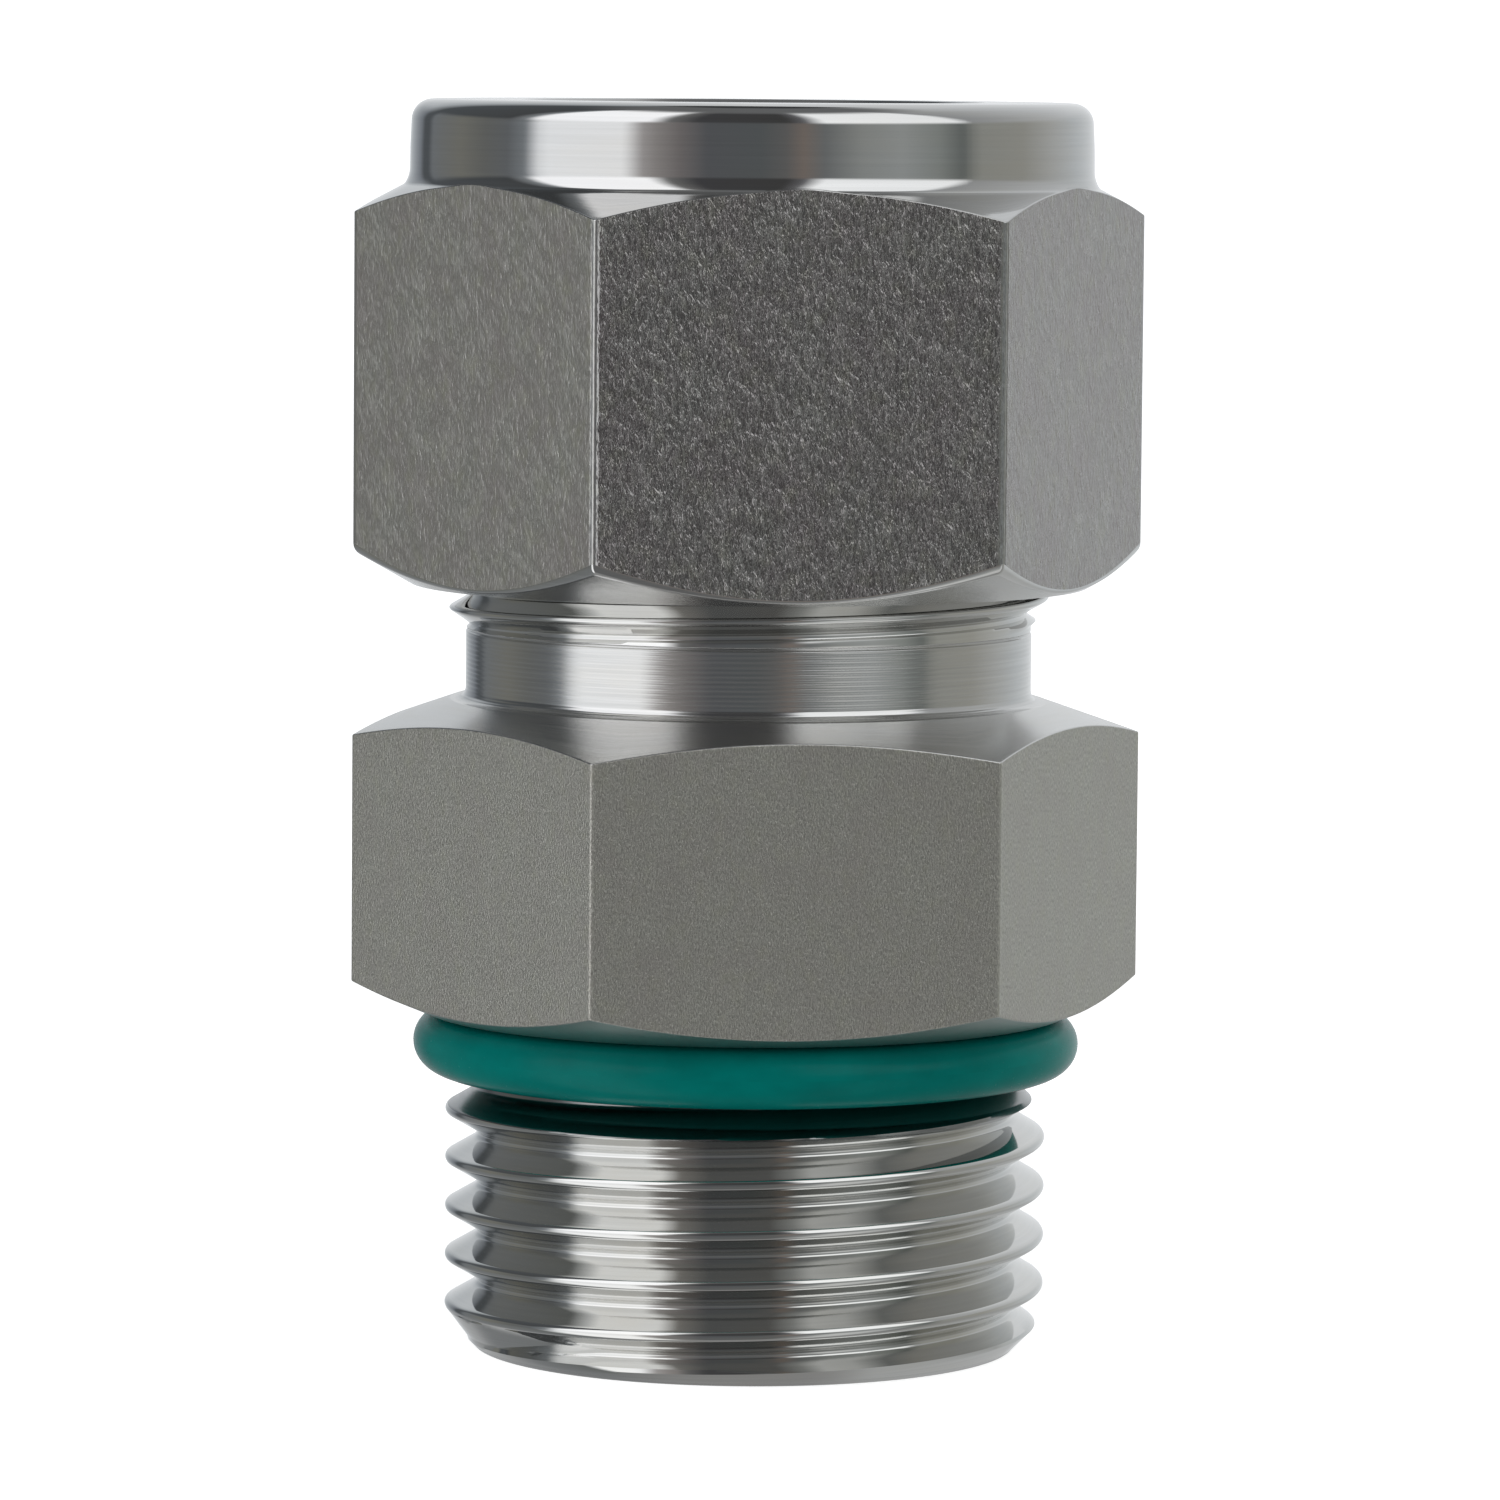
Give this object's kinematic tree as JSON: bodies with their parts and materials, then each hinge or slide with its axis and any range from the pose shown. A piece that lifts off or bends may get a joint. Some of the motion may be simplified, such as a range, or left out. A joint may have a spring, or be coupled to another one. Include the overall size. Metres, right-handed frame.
{
  "type": "compression adapter fitting",
  "caption": "Straight steel adapter with a hexagon nut and ferrules that grip a round tube at one end, and a male port thread with a ring seal at the other.",
  "frame": {"origin": "centre of the port thread's end face, which the fitting stands on", "axes": "+Z along the common axis of all pieces, from the port thread towards the nut; -Y is the normal of a flat on both hexagons, and +X runs through a corner of both"},
  "size_m": [0.0294, 0.0254, 0.046],
  "materials": {
    "body_steel": "milled flats with a fine grain, bright turned neck, faces and threads",
    "nut_steel": "tumbled flats with a coarse speckle, polished collar",
    "ferrule_steel": "bright turned",
    "ring_rubber": "satin moulded elastomer"
  },
  "bodies": {
    "main": {"body": "body_steel", "o_ring": "ring_rubber"},
    "ferrule_set": {"front_ferrule": "ferrule_steel", "back_ferrule": "ferrule_steel"},
    "nut_group": {"nut": "nut_steel"}
  },
  "joints": [
    {"name": "nut_travel", "type": "slide", "parent": "main", "child": "ferrule_set", "axis": [0, 0, 1], "range_m": [0, 0.00762]},
    {"name": "nut_turn", "type": "hinge", "parent": "ferrule_set", "child": "nut_group", "pos_m": [0, 0, 0.033], "axis": [0, 0, 1], "range_deg": [0, 2160]}
  ],
  "couplings": [
    {"joint": "nut_travel", "follows": "nut_turn", "m_per_rad": 0.00020212}
  ]
}
